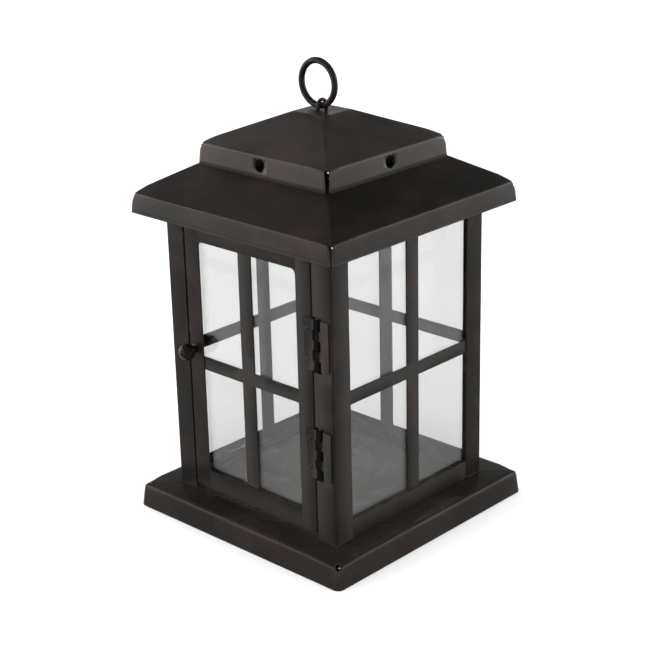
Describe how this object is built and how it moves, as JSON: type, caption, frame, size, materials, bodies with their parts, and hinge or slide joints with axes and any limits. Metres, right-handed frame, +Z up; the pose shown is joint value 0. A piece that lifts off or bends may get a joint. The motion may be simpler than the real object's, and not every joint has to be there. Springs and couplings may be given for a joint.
{
  "type": "candle lantern",
  "caption": "Square sheet-metal candle lantern with glazed sides, a hinged front door with a ball knob, a two-tier hipped roof with vents and a swinging hanging ring.",
  "frame": {"origin": "centre of the base's underside, on the surface that the lantern stands on", "axes": "+Z up; -Y the side with the door; the door is hinged at its +X edge and its knob is at its -X edge"},
  "size_m": [0.167, 0.167, 0.2744],
  "materials": {
    "black_paint": "semi-gloss black paint, slightly warm, over folded sheet",
    "clear_glass": "clear window glass with a faint grey haze",
    "plain_steel": "plain steel, dull"
  },
  "bodies": {
    "housing": {"base_pan": "black_paint", "post_front_left": "black_paint", "post_front_right": "black_paint", "post_back_left": "black_paint", "post_back_right": "black_paint", "bottom_rail_left": "black_paint", "bottom_rail_right": "black_paint", "bottom_rail_back": "black_paint", "top_rail_front": "black_paint", "top_rail_left": "black_paint", "top_rail_right": "black_paint", "top_rail_back": "black_paint", "upright_bar_left": "black_paint", "upright_bar_right": "black_paint", "upright_bar_back": "black_paint", "cross_bar_left": "black_paint", "cross_bar_right": "black_paint", "cross_bar_back": "black_paint", "glass_left": "clear_glass", "glass_right": "clear_glass", "glass_back": "clear_glass", "glass_clips_left": "black_paint", "glass_clips_right": "black_paint", "glass_clips_back": "black_paint", "door_stop_strip": "black_paint", "door_catch_spring": "plain_steel", "upper_hinge_post_leaf": "black_paint", "upper_hinge_pin": "black_paint", "lower_hinge_post_leaf": "black_paint", "lower_hinge_pin": "black_paint", "roof_lower": "black_paint", "roof_cap": "black_paint", "ring_staple": "black_paint", "staple_plate": "plain_steel"},
    "door": {"door_stile_latch": "black_paint", "door_stile_hinge": "black_paint", "door_rail_top": "black_paint", "door_rail_bottom": "black_paint", "door_upright_bar": "black_paint", "door_cross_bar": "black_paint", "door_glass": "clear_glass", "door_glass_clips": "black_paint", "door_knob": "black_paint", "door_knob_washer": "plain_steel", "upper_hinge_door_leaf": "black_paint", "lower_hinge_door_leaf": "black_paint", "hinge_rivets": "black_paint"},
    "ring": {"hanging_ring": "black_paint"}
  },
  "joints": [
    {"name": "door_hinge", "type": "hinge", "parent": "housing", "child": "door", "pos_m": [0.0542, -0.064, 0.10125], "axis": [0, 0, 1], "range_deg": [0, 110]},
    {"name": "ring_swing", "type": "hinge", "parent": "housing", "child": "ring", "pos_m": [0, 0, 0.24703], "axis": [1, 0, 0], "range_deg": [-92, 92]}
  ]
}
